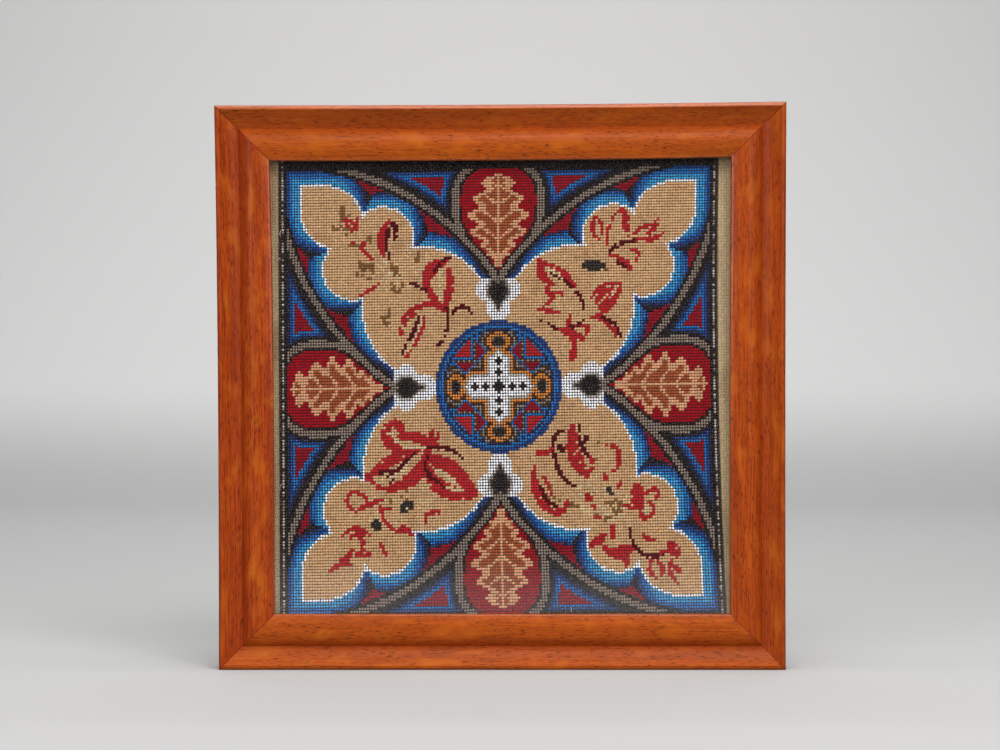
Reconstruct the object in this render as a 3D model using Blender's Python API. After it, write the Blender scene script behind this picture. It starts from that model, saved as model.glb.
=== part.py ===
"""A square needlepoint canvas, glazed and framed in a stained maple moulding.

The panel stands upright on its lower rail. Its face looks towards -Y, its back towards +Y, and its
origin is the middle of the underside. Units are metres, +Z is up.
"""

import math

import bpy
import bmesh
from mathutils import Vector

MM = 0.001

# Outline of the frame, seen from the front
FOOT_WIDTH = 424.5 * MM        # across the lower rail
LEFT_HEIGHT = 422.5 * MM       # up the left side
TOP_RIGHT_RISE = 2.9 * MM      # the top right corner stands this much higher
TOP_LEFT_FLARE = 3.6 * MM      # the top left corner has opened outwards
TOP_RIGHT_FLARE = 0.5 * MM
BEND_AT = 0.6                  # where along a rail its bend sets in
RIGHT_BOW = 0.8 * MM           # the right rail is drawn in a little at its middle

# Moulding, from its outer edge inwards and from the back plane forwards
MOULD_WIDTH = 41.0 * MM
MOULD_DEPTH = 26.0 * MM
LIP_ROUND = 3.5 * MM           # round of the raised outer lip
VALLEY_AT = 17.0 * MM          # lowest line of the cove
VALLEY_DEPTH = 17.4 * MM
CREST_AT = 29.5 * MM           # top of the inner roll
CREST_DEPTH = 23.4 * MM
SIGHT_DEPTH = 20.8 * MM        # front corner of the sight edge
SIGHT_ROUND = 1.2 * MM
COVE_POWER = 1.5
ROLL_ROUNDNESS = 2.2
REBATE_WIDTH = 6.5 * MM
REBATE_DEPTH = 15.2 * MM       # from the back plane to the lip that the glass lies against

# What lies in the rebate
GAP = 0.3 * MM
GLASS_THICK = 2.0 * MM
CANVAS_THICK = 1.0 * MM
WORK_RISE = 1.2 * MM           # beads and wool stand this far off the canvas
BOARD_THICK = 4.0 * MM

# Worked square on the canvas, measured from the middle of the sight opening
WORK_HALF_HEIGHT = 174.5 * MM
WORK_LEFT_TOP = 167.8 * MM     # left edge of the stitches, at the top and at the foot
WORK_LEFT_FOOT = 166.4 * MM
WORK_RIGHT_TOP = 163.0 * MM    # right edge, which leans out towards the foot
WORK_RIGHT_BEND = 159.5 * MM
WORK_RIGHT_FOOT = 169.2 * MM
WORK_WAVER = 0.35 * MM

RAIL_STEPS = 14
EDGE_STEPS = 16
ROUND_STEPS = 5
CURVE_STEPS = 9


def clear_scene():
    for item in list(bpy.data.objects):
        bpy.data.objects.remove(item, do_unlink=True)


def make_material(name, colour, roughness, metallic=0.0, transmission=0.0):
    material = bpy.data.materials.new(name)
    material.use_nodes = True
    shader = material.node_tree.nodes["Principled BSDF"]
    shader.inputs["Base Color"].default_value = (*colour, 1.0)
    shader.inputs["Roughness"].default_value = roughness
    shader.inputs["Metallic"].default_value = metallic
    shader.inputs["Transmission Weight"].default_value = transmission
    return material


def make_object(name, points, faces, material):
    """One closed body from its points and faces, with every face turned outwards."""
    mesh = bpy.data.meshes.new(name)
    mesh.from_pydata(points, [], faces)
    body = bmesh.new()
    body.from_mesh(mesh)
    bmesh.ops.recalc_face_normals(body, faces=body.faces)
    body.to_mesh(mesh)
    body.free()
    mesh.materials.append(material)
    item = bpy.data.objects.new(name, mesh)
    bpy.context.scene.collection.objects.link(item)
    return item


def frame_corners():
    """Outer corners as (x, z), centred on the widest points of the outline."""
    shift = (TOP_LEFT_FLARE - TOP_RIGHT_FLARE) / 2
    half = FOOT_WIDTH / 2
    return {
        "foot_left": Vector((shift - half, 0)),
        "foot_right": Vector((shift + half, 0)),
        "top_right": Vector((shift + half + TOP_RIGHT_FLARE, LEFT_HEIGHT + TOP_RIGHT_RISE)),
        "top_left": Vector((shift - half - TOP_LEFT_FLARE, LEFT_HEIGHT)),
    }


def sight_corners():
    """Corners of the opening, one moulding's width in from the outer ones."""
    outer = frame_corners()
    inward = {"foot_left": (1, 1), "foot_right": (-1, 1), "top_right": (-1, -1), "top_left": (1, -1)}
    return {name: outer[name] + Vector(step) * MOULD_WIDTH for name, step in inward.items()}


def bend(start, control, end, t):
    """A point on the soft curve that a bent rail follows."""
    return start * (1 - t) ** 2 + control * 2 * t * (1 - t) + end * t ** 2


def rail_course(name):
    """(first corner, last corner, outer control point, step inwards) of one rail."""
    corner = frame_corners()
    left, right = corner["foot_left"].x, corner["foot_right"].x
    courses = {
        "rail_bottom": ("foot_left", "foot_right", Vector(((left + right) / 2, 0)), Vector((0, 1))),
        "rail_left": ("foot_left", "top_left", Vector((left, LEFT_HEIGHT * BEND_AT)), Vector((1, 0))),
        "rail_top": (
            "top_left", "top_right",
            Vector((left + FOOT_WIDTH * BEND_AT, LEFT_HEIGHT)), Vector((0, -1)),
        ),
        "rail_right": (
            "foot_right", "top_right",
            Vector((right - RIGHT_BOW, LEFT_HEIGHT / 2)), Vector((-1, 0)),
        ),
    }
    return courses[name]


def arc(centre, radius, start, end, steps):
    turn = [math.radians(start + (end - start) * i / steps) for i in range(steps + 1)]
    return [(centre[0] + radius * math.cos(a), centre[1] + radius * math.sin(a)) for a in turn]


def moulding_profile():
    """Section of the moulding as (distance from the outer edge, distance from the back plane)."""
    lip = arc((LIP_ROUND, MOULD_DEPTH - LIP_ROUND), LIP_ROUND, 180, 90, ROUND_STEPS)
    cove = []
    for i in range(1, CURVE_STEPS + 1):
        t = i / CURVE_STEPS
        across = LIP_ROUND + (VALLEY_AT - LIP_ROUND) * t
        cove.append((across, VALLEY_DEPTH + (MOULD_DEPTH - VALLEY_DEPTH) * (1 - t) ** COVE_POWER))
    rise = []
    for i in range(1, CURVE_STEPS + 1):
        t = i / CURVE_STEPS
        height = 1 - (1 - t) ** ROLL_ROUNDNESS
        rise.append((VALLEY_AT + (CREST_AT - VALLEY_AT) * t,
                     VALLEY_DEPTH + (CREST_DEPTH - VALLEY_DEPTH) * height))
    fall = []
    last = MOULD_WIDTH - SIGHT_ROUND
    for i in range(1, CURVE_STEPS + 1):
        t = i / CURVE_STEPS
        fall.append((CREST_AT + (last - CREST_AT) * t, CREST_DEPTH - (CREST_DEPTH - SIGHT_DEPTH) * t ** 2))
    corner = arc((last, SIGHT_DEPTH - SIGHT_ROUND), SIGHT_ROUND, 90, 0, ROUND_STEPS)[1:]
    rebate_at = MOULD_WIDTH - REBATE_WIDTH
    back = [(MOULD_WIDTH, REBATE_DEPTH), (rebate_at, REBATE_DEPTH), (rebate_at, 0), (0, 0)]
    return lip + cove + rise + fall + corner + back


def make_rail(name, material):
    """A mitred length of moulding, swept from one mitre to the other along its own bend."""
    first, last, outer_control, inward = rail_course(name)
    outer, sight = frame_corners(), sight_corners()
    sight_control = outer_control + inward * MOULD_WIDTH
    length = (outer[last] - outer[first]).length
    joint = GAP / 2 * math.sqrt(2) / length
    profile = moulding_profile()
    points, faces = [], []
    for i in range(RAIL_STEPS + 1):
        t = joint + (1 - 2 * joint) * i / RAIL_STEPS
        rim = bend(outer[first], outer_control, outer[last], t)
        edge = bend(sight[first], sight_control, sight[last], t)
        for across, forward in profile:
            place = rim.lerp(edge, across / MOULD_WIDTH)
            points.append((place.x, MOULD_DEPTH / 2 - forward, place.y))
    count = len(profile)
    for i in range(RAIL_STEPS):
        for j in range(count):
            k = (j + 1) % count
            faces.append((i * count + j, i * count + k, (i + 1) * count + k, (i + 1) * count + j))
    faces.append(tuple(range(count)))
    faces.append(tuple(RAIL_STEPS * count + j for j in range(count)))
    return make_object(name, points, faces, material)


def rebate_outline(steps, slack):
    """Outline of what lies in the rebate, clear of its walls by slack, anticlockwise from the foot."""
    room = REBATE_WIDTH - slack
    sides = (("rail_bottom", False), ("rail_right", False), ("rail_top", True), ("rail_left", True))
    sight = sight_corners()
    widened = {
        "foot_left": sight["foot_left"] + Vector((-room, -room)),
        "foot_right": sight["foot_right"] + Vector((room, -room)),
        "top_right": sight["top_right"] + Vector((room, room)),
        "top_left": sight["top_left"] + Vector((-room, room)),
    }
    outline = []
    for name, backwards in sides:
        first, last, control, inward = rail_course(name)
        near = control + inward * (MOULD_WIDTH - room)
        for i in range(steps):
            t = i / steps
            t = 1 - t if backwards else t
            outline.append(bend(widened[first], near, widened[last], t))
    return outline


def make_plate(name, outline, front, thickness, material):
    """A flat plate of the given outline, its face this far in front of the back plane."""
    count = len(outline)
    near, far = MOULD_DEPTH / 2 - front, MOULD_DEPTH / 2 - front + thickness
    points = [(p.x, near, p.y) for p in outline] + [(p.x, far, p.y) for p in outline]
    faces = [tuple(range(count)), tuple(range(2 * count - 1, count - 1, -1))]
    for j in range(count):
        k = (j + 1) % count
        faces.append((j, k, count + k, count + j))
    return make_object(name, points, faces, material)


def work_outline(steps):
    """Edge of the stitched square, out of true as the real work is."""
    sight = sight_corners()
    centre = sum(sight.values(), Vector((0, 0))) / len(sight)
    foot_left = Vector((-WORK_LEFT_FOOT, -WORK_HALF_HEIGHT))
    foot_right = Vector((WORK_RIGHT_FOOT, -WORK_HALF_HEIGHT))
    top_right = Vector((WORK_RIGHT_TOP, WORK_HALF_HEIGHT))
    top_left = Vector((-WORK_LEFT_TOP, WORK_HALF_HEIGHT))
    sides = (
        (foot_left, (foot_left + foot_right) / 2, foot_right),
        (foot_right, Vector((WORK_RIGHT_BEND, 0)), top_right),
        (top_right, (top_right + top_left) / 2, top_left),
        (top_left, (top_left + foot_left) / 2, foot_left),
    )
    outline = []
    for start, middle, end in sides:
        along = (end - start).normalized()
        out = Vector((along.y, -along.x))
        for i in range(steps):
            t = i / steps
            waver = WORK_WAVER * math.sin(3 * math.pi * t) * math.sin(math.pi * t)
            outline.append(centre + bend(start, middle, end, t) + out * waver)
    return outline


def make_canvas(name, front, material):
    """One flat sheet: the bare canvas all round, and the stitched square standing off it."""
    sheet = rebate_outline(EDGE_STEPS, 2 * GAP)
    work = work_outline(EDGE_STEPS)
    count = len(sheet)
    face = MOULD_DEPTH / 2 - front
    bare = face + WORK_RISE
    levels = ((sheet, bare + CANVAS_THICK), (sheet, bare), (work, bare), (work, face))
    points = [(p.x, depth, p.y) for outline, depth in levels for p in outline]
    faces = [tuple(range(count)), tuple(range(4 * count - 1, 3 * count - 1, -1))]
    for level in range(len(levels) - 1):
        for j in range(count):
            k = (j + 1) % count
            low, high = level * count, (level + 1) * count
            faces.append((low + j, low + k, high + k, high + j))
    return make_object(name, points, faces, material)


def main():
    clear_scene()
    maple = make_material("stained_maple", (0.36, 0.055, 0.006), 0.38)
    glass = make_material("picture_glass", (0.95, 0.97, 0.96), 0.03, transmission=1.0)
    work = make_material("beads_and_wool", (0.33, 0.22, 0.15), 0.75)
    board = make_material("backing_board", (0.34, 0.23, 0.13), 0.85)
    for name in ("rail_bottom", "rail_top", "rail_left", "rail_right"):
        make_rail(name, maple)
    front = REBATE_DEPTH - GAP
    make_plate("glass_pane", rebate_outline(EDGE_STEPS, GAP), front, GLASS_THICK, glass)
    front -= GLASS_THICK + GAP
    make_canvas("needlepoint_canvas", front, work)
    front -= WORK_RISE + CANVAS_THICK + GAP
    make_plate("backing_board", rebate_outline(EDGE_STEPS, GAP), front, BOARD_THICK, board)


main()
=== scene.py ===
# %% [markdown]
# # A needlepoint canvas in its frame
# The real object is a square of cotton canvas, worked all over with glass beads and wool. It lies
# behind a pane of glass in a frame of stained maple, and stands upright on the lower rail. The solids
# come packed, already in place, and this script gives them their looks: the moulding with its grain,
# the glass, and every stitch of the work as a small form of its own.
# Millimetres are used for sizes that a maker would read off a rule, and everything is built in metres.

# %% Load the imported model
import math

import bpy
import numpy as np
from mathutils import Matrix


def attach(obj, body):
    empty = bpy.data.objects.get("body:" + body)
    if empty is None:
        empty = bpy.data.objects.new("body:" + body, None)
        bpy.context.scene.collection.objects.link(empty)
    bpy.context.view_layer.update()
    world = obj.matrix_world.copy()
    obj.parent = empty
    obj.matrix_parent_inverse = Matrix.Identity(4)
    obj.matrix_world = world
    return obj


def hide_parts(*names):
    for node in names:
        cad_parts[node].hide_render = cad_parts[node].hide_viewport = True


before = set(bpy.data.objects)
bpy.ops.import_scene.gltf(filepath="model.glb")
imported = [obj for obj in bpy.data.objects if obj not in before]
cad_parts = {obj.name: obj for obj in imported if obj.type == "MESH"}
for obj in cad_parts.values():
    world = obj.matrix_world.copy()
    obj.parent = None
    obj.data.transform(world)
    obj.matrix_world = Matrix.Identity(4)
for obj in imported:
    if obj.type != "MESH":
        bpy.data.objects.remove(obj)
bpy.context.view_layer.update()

MM = 0.001
random = np.random.default_rng(1870)
print("solids:", ", ".join(sorted(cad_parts)))

# %% [markdown]
# ## The camera
# The photograph looks straight at the glass from the height of the panel's middle. A long lens from
# one and a half metres keeps the square square. The lens is worked out from the width that the
# picture takes in, so that the panel fills the same part of it.

# %% Camera
FACE_Y = -13 * MM                  # front of the frame
VIEW_DISTANCE = 1.494
VIEW_WIDTH = 747 * MM              # what 1000 pixels take in at the front of the frame
VIEW_HEIGHT = 220.6 * MM

lens = bpy.data.cameras.new("camera")
lens.sensor_width = 36
lens.lens = lens.sensor_width * VIEW_DISTANCE / VIEW_WIDTH
camera = bpy.data.objects.new("camera", lens)
camera.location = (-0.2 * MM, FACE_Y - VIEW_DISTANCE, VIEW_HEIGHT)
camera.rotation_euler = (math.pi / 2, 0, 0)
bpy.context.scene.collection.objects.link(camera)
bpy.context.scene.camera = camera
bpy.context.scene.view_settings.view_transform = "Standard"
print(f"lens {lens.lens:.1f} mm, {camera.location.z:.3f} m above the floor")

# %% [markdown]
# ## Meshes from arrays
# There are some 27,000 stitches, so they can't be objects of their own. Each kind of stitch becomes
# one mesh, filled from arrays of points and faces, which takes Blender a fraction of a second.

# %% Mesh helper
def mesh_from_arrays(name, points, faces, smooth=True):
    """An object from points (n, 3) and faces, a list of arrays that each hold faces of one size."""
    mesh = bpy.data.meshes.new(name)
    mesh.vertices.add(len(points))
    mesh.vertices.foreach_set("co", np.asarray(points, dtype=np.float32).ravel())
    corners = np.concatenate([np.asarray(group, dtype=np.int32).ravel() for group in faces])
    sizes = np.concatenate([np.full(len(group), len(group[0]), dtype=np.int32) for group in faces])
    mesh.loops.add(len(corners))
    mesh.loops.foreach_set("vertex_index", corners)
    mesh.polygons.add(len(sizes))
    mesh.polygons.foreach_set("loop_start", np.concatenate([[0], np.cumsum(sizes)[:-1]]))
    mesh.polygons.foreach_set("use_smooth", np.full(len(sizes), smooth))
    mesh.update(calc_edges=True)
    mesh.validate()
    piece = bpy.data.objects.new(name, mesh)
    bpy.context.scene.collection.objects.link(piece)
    return piece


def mark_points(piece, name, values):
    """Keep one number for each point, for a finish to read."""
    layer = piece.data.attributes.new(name, "FLOAT", "POINT")
    layer.data.foreach_set("value", np.asarray(values, dtype=np.float32))


def map_corners(piece, name, across, up):
    """A flat map of the piece from two numbers for each point."""
    layer = piece.data.uv_layers.new(name=name)
    corners = np.empty(len(piece.data.loops), dtype=np.int32)
    piece.data.loops.foreach_get("vertex_index", corners)
    pairs = np.stack([np.asarray(across)[corners], np.asarray(up)[corners]], axis=1)
    layer.data.foreach_set("uv", pairs.astype(np.float32).ravel())


def map_front(piece, points):
    """A flat map of the whole piece as seen from the front."""
    share = (points - points.min(axis=0)) / np.ptp(points, axis=0)
    map_corners(piece, "OFBake", share[:, 0], share[:, 2])


def sweep_faces(stations, sides):
    """Faces of a closed outline that is swept through stations: the quads, and two ends."""
    i, j = np.meshgrid(np.arange(stations - 1), np.arange(sides), indexing="ij")
    here, after = i * sides + j, i * sides + (j + 1) % sides
    quads = np.stack([here, after, after + sides, here + sides], axis=-1).reshape(-1, 4)
    around = np.arange(sides)
    return quads, np.stack([around[::-1], (stations - 1) * sides + around])


def triangles(piece):
    """How many triangles the piece comes to."""
    piece.data.calc_loop_triangles()
    return len(piece.data.loop_triangles)


# %% [markdown]
# ## A way to write finishes
# A finish is a small network of nodes. Written out node by node it is hard to read, so a value that
# comes out of a node is wrapped: adding or multiplying two of them adds the Math node that does it.
# All other nodes come from one method, which takes the node's type, its settings and its inputs.

# %% Finish helper
class Value:
    """What a node gives out. Sums on a value add Math nodes."""

    def __init__(self, socket):
        self.socket = socket

    def sum(self, operation, first, second):
        node = self.socket.id_data.nodes.new("ShaderNodeMath")
        node.operation = operation
        for entry, term in zip(node.inputs, (first, second)):
            feed(entry, term)
        return Value(node.outputs[0])

    def __add__(self, other):
        return self.sum("ADD", self, other)

    def __radd__(self, other):
        return self.sum("ADD", other, self)

    def __sub__(self, other):
        return self.sum("SUBTRACT", self, other)

    def __rsub__(self, other):
        return self.sum("SUBTRACT", other, self)

    def __mul__(self, other):
        return self.sum("MULTIPLY", self, other)

    def __rmul__(self, other):
        return self.sum("MULTIPLY", other, self)


def feed(entry, term):
    """Link a value to a socket, or set a plain number or colour on it."""
    if isinstance(term, Value):
        entry.id_data.links.new(term.socket, entry)
    else:
        entry.default_value = term


class Finish:
    """A material, or the world's light if its tree is given, built from nodes by one method."""

    def __init__(self, name, tree=None):
        if tree is None:
            self.material = bpy.data.materials.new(name)
            self.material.use_nodes = True
            tree = self.material.node_tree
        self.tree = tree
        self.tree.nodes.clear()

    def node(self, kind, settings, inputs, out=None):
        node = self.tree.nodes.new("ShaderNode" + kind)
        for name, value in settings.items():
            setattr(node, name, value)
        entries = {entry.identifier: entry for entry in node.inputs}
        for name, term in inputs.items():
            feed(entries[name], term)
        exits = {each.identifier: each for each in node.outputs}
        return Value(exits[out] if out else node.outputs[0]) if node.outputs else node

    def place(self):
        """Where a point lies, in metres, for noises that don't follow a map."""
        return self.node("TexCoord", {}, {}, "Object")

    def noise(self, place, scale, detail=2.0, roughness=0.5):
        inputs = {"Vector": place, "Scale": scale, "Detail": detail, "Roughness": roughness}
        return self.node("TexNoise", {"noise_dimensions": "3D"}, inputs, "Fac")

    def step(self, value, low, high):
        """0 below low, 1 above high, and soft between."""
        inputs = {"Value": value, "From Min": low, "From Max": high}
        return self.node("MapRange", {"interpolation_type": "SMOOTHSTEP"}, inputs, "Result")

    def mix(self, mask, first, second, how="MIX"):
        inputs = {"Factor_Float": mask, "A_Color": first, "B_Color": second}
        return self.node("Mix", {"data_type": "RGBA", "blend_type": how}, inputs, "Result_Color")

    def scaled(self, place, factors):
        inputs = {"Vector": place, "Vector_001": factors}
        return self.node("VectorMath", {"operation": "MULTIPLY"}, inputs, "Vector")

    def mark(self, name, out="Fac"):
        return self.node("Attribute", {"attribute_name": name}, {}, out)

    def relief(self, height, depth, strength=1.0):
        """A bump of the given depth in metres."""
        return self.node("Bump", {}, {"Height": height, "Distance": depth, "Strength": strength})

    def surface(self, **inputs):
        """Close the finish with a Principled shader; underscores stand for spaces."""
        named = {name.replace("_", " "): term for name, term in inputs.items()}
        self.show(self.node("BsdfPrincipled", {}, named, "BSDF"))

    def show(self, shader):
        self.node("OutputMaterial", {}, {"Surface": shader})


def paint(red, green, blue):
    """A colour as a screen shows it, 0 to 255, turned into the linear one that Blender works in."""
    linear = []
    for level in (red, green, blue):
        level = level / 255
        linear.append(level / 12.92 if level <= 0.04045 else ((level + 0.055) / 1.055) ** 2.4)
    return (*linear, 1.0)


# %% [markdown]
# ## The frame: one moulding, four mitred rails
# A framer planes a length of maple to its section, cuts it at 45 degrees and joins four pieces. The
# section here is the same as the solids': a rounded outer lip, a hollow cove, a round inner roll and a
# rebate behind. It is swept again with finer steps, so the curves run smooth, and so that each point
# knows how far along the grain it lies. Old frames have moved: the top left corner has spread a
# little, and the top right one stands higher.

# %% Outline of the frame
FOOT_WIDTH = 424.5 * MM
LEFT_HEIGHT = 422.5 * MM
TOP_RIGHT_RISE = 2.9 * MM
TOP_LEFT_FLARE = 3.6 * MM
TOP_RIGHT_FLARE = 0.5 * MM
BEND_AT = 0.6
RIGHT_BOW = 0.8 * MM
MOULD_WIDTH = 41.0 * MM
MOULD_DEPTH = 26.0 * MM
GAP = 0.3 * MM

shift = (TOP_LEFT_FLARE - TOP_RIGHT_FLARE) / 2
left_x, right_x = shift - FOOT_WIDTH / 2, shift + FOOT_WIDTH / 2
CORNERS = {
    "foot_left": np.array((left_x, 0.0)),
    "foot_right": np.array((right_x, 0.0)),
    "top_right": np.array((right_x + TOP_RIGHT_FLARE, LEFT_HEIGHT + TOP_RIGHT_RISE)),
    "top_left": np.array((left_x - TOP_LEFT_FLARE, LEFT_HEIGHT)),
}
INWARD = {"foot_left": (1, 1), "foot_right": (-1, 1), "top_right": (-1, -1), "top_left": (1, -1)}
COURSES = {
    "rail_bottom": ("foot_left", "foot_right", (shift, 0.0), (0, 1)),
    "rail_left": ("foot_left", "top_left", (left_x, LEFT_HEIGHT * BEND_AT), (1, 0)),
    "rail_top": ("top_left", "top_right", (left_x + FOOT_WIDTH * BEND_AT, LEFT_HEIGHT), (0, -1)),
    "rail_right": ("foot_right", "top_right", (right_x - RIGHT_BOW, LEFT_HEIGHT / 2), (-1, 0)),
}


def bend(start, middle, end, t):
    """Points on the soft curve that a bent edge follows, for each t from 0 to 1."""
    t = np.asarray(t)[..., None]
    start, middle, end = (np.asarray(place) for place in (start, middle, end))
    return start * (1 - t) ** 2 + middle * 2 * t * (1 - t) + end * t ** 2


def inset(name, distance):
    """A corner, moved in from the outer edge by a distance along both sides."""
    return CORNERS[name] + np.array(INWARD[name]) * distance


def side(name, distance, t):
    """Points along one side of the frame, a distance in from its outer edge."""
    first, last, middle, inward = COURSES[name]
    middle = np.array(middle) + np.array(inward) * distance
    return bend(inset(first, distance), middle, inset(last, distance), t)


sight_middle = np.mean([inset(name, MOULD_WIDTH) for name in CORNERS], axis=0)
print("middle of the opening:", np.round(sight_middle / MM, 2), "mm")

# %% Section of the moulding
LIP_ROUND = 3.5 * MM
VALLEY_AT, VALLEY_DEPTH = 17.0 * MM, 17.4 * MM
CREST_AT, CREST_DEPTH = 29.5 * MM, 23.4 * MM
SIGHT_DEPTH, SIGHT_ROUND = 20.8 * MM, 1.2 * MM
COVE_POWER, ROLL_ROUNDNESS = 1.5, 2.2
REBATE_WIDTH, REBATE_DEPTH = 6.5 * MM, 15.2 * MM


def quarter_turn(centre, radius, start, end, steps):
    turn = np.radians(np.linspace(start, end, steps + 1))
    return np.stack([centre[0] + radius * np.cos(turn), centre[1] + radius * np.sin(turn)], axis=1)


def straight(start, end, steps):
    return np.linspace(start, end, steps + 1)[1:]


def moulding_section():
    """Points of the section as (in from the outer edge, forward from the back plane)."""
    lip = quarter_turn((LIP_ROUND, MOULD_DEPTH - LIP_ROUND), LIP_ROUND, 180, 90, 7)
    t = np.linspace(0, 1, 15)[1:]
    cove = np.stack([
        LIP_ROUND + (VALLEY_AT - LIP_ROUND) * t,
        VALLEY_DEPTH + (MOULD_DEPTH - VALLEY_DEPTH) * (1 - t) ** COVE_POWER,
    ], axis=1)
    rise = np.stack([
        VALLEY_AT + (CREST_AT - VALLEY_AT) * t,
        VALLEY_DEPTH + (CREST_DEPTH - VALLEY_DEPTH) * (1 - (1 - t) ** ROLL_ROUNDNESS),
    ], axis=1)
    last = MOULD_WIDTH - SIGHT_ROUND
    fall = np.stack([
        CREST_AT + (last - CREST_AT) * t,
        CREST_DEPTH - (CREST_DEPTH - SIGHT_DEPTH) * t ** 2,
    ], axis=1)
    arris = quarter_turn((last, SIGHT_DEPTH - SIGHT_ROUND), SIGHT_ROUND, 90, 0, 5)[1:]
    rebate = MOULD_WIDTH - REBATE_WIDTH
    back = [
        straight((MOULD_WIDTH, SIGHT_DEPTH - SIGHT_ROUND), (MOULD_WIDTH, REBATE_DEPTH), 2),
        straight((MOULD_WIDTH, REBATE_DEPTH), (rebate, REBATE_DEPTH), 2),
        straight((rebate, REBATE_DEPTH), (rebate, 0), 3),
        straight((rebate, 0), (0, 0), 5),
        straight((0, 0), (0, MOULD_DEPTH - LIP_ROUND), 6)[:-1],
    ]
    return np.concatenate([lip, cove, rise, fall, arris, *back])


section = moulding_section()
print("points in the section:", len(section))

# %% [markdown]
# ## Dents and nicks
# A frame of this age has been knocked. A dent is a smooth hollow a few millimetres wide: each point
# near it moves back by a bell curve of its distance. The stations of the sweep lie a little over 2 mm
# apart, close enough to carry a hollow of that size.

# %% Rails
STATIONS = 190
DENTS = (                          # (x, z) in mm, width in mm, depth in mm
    ((-208.9, 401.0), 2.6, 0.9),
    ((128.5, 421.6), 4.0, 0.5),
    ((88.8, 382.8), 2.2, 0.8),
    ((-180.0, 250.0), 3.0, 0.25),
    ((196.0, 120.0), 3.4, 0.3),
    ((60.0, 12.0), 3.0, 0.3),
    ((-96.0, 30.5), 2.8, 0.25),
    ((190.5, 331.0), 3.2, 0.3),
)
MITRE_GAP = 0.06 * MM              # the joints are nearly shut, and dark with old stain
HAND_WAVER = 0.10 * MM             # the plane and the scraper never ran quite true
# Painted light: the top and bottom rails are coloured lighter and warmer, the right one a little.
RAIL_PAINTED_LIGHT = {"rail_bottom": 0.3, "rail_top": 0.35, "rail_left": 0.0, "rail_right": 0.1}
LIP_RUBBED = {"rail_bottom": 0.0, "rail_top": 1.0, "rail_left": 0.0, "rail_right": 0.0}
ARRIS_RUBBED = 0.8
JOINT_STATIONS = (0, 0.25 * MM, 0.7 * MM)    # close together, so that the dark joint ends short
JOINT_REACH, JOINT_STAIN = 0.5 * MM, 2.2
# Painted shade: the valley of the cove and the outer sides of the moulding take a darker colour.
VALLEY_SHADE_WIDTH, SIDE_SHADE, SKIN = 4.2 * MM, 0.85, 0.6 * MM
SHARP_ANGLE = 38                   # degrees; edges that turn by more stay crisp


def knock(points):
    """Press the dents into the front of a rail."""
    front = points[:, 1] < 0
    for (x, z), width, depth in DENTS:
        away = np.hypot(points[:, 0] - x * MM, points[:, 2] - z * MM) / (width * MM)
        points[:, 1] += front * depth * MM * np.exp(-away ** 2)


def mark_rail(rail, name, along, length, turn):
    """Map the grain, and mark dark joints, painted shade, bare wood and rubbed varnish."""
    count = len(section)
    steps = np.linalg.norm(np.diff(section, axis=0), axis=1)
    girth = np.concatenate([[0], np.cumsum(steps)])
    run = np.repeat(along + turn, count)
    map_corners(rail, "grain", run, np.tile(girth, STATIONS) + turn)
    inward, height = section.T
    # Painted shade: the valley of the cove and the outer sides are marked to take a darker colour.
    valley = np.exp(-((inward - VALLEY_AT) / VALLEY_SHADE_WIDTH) ** 2) * (height > REBATE_DEPTH)
    sides = (inward < SKIN) * SIDE_SHADE
    bare = (inward > SKIN) * (height < SIGHT_DEPTH - 3 * MM)
    bare = np.where(height < 0.5 * MM, 1.0, bare) * (height < REBATE_DEPTH + 0.1 * MM)
    lip = (inward < LIP_ROUND) * (height > MOULD_DEPTH - LIP_ROUND * 0.8) * LIP_RUBBED[name]
    arris = (inward > MOULD_WIDTH - SIGHT_ROUND * 1.1) * (height > SIGHT_DEPTH - SIGHT_ROUND)
    mitre = np.repeat(np.minimum(along, length - along) < JOINT_REACH, count)
    painted_moulding_shade = np.tile(np.maximum(valley, sides), STATIONS)
    mark_points(rail, "joint_stain_and_painted_shade", np.where(mitre, JOINT_STAIN, painted_moulding_shade))
    mark_points(rail, "bare", np.tile(bare, STATIONS))
    mark_points(rail, "rubbed", np.tile(np.maximum(lip, arris * ARRIS_RUBBED), STATIONS))
    # Painted light: how much lighter and warmer this rail is coloured.
    mark_points(rail, "painted_rail_light", np.full(STATIONS * count, RAIL_PAINTED_LIGHT[name]))


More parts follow.
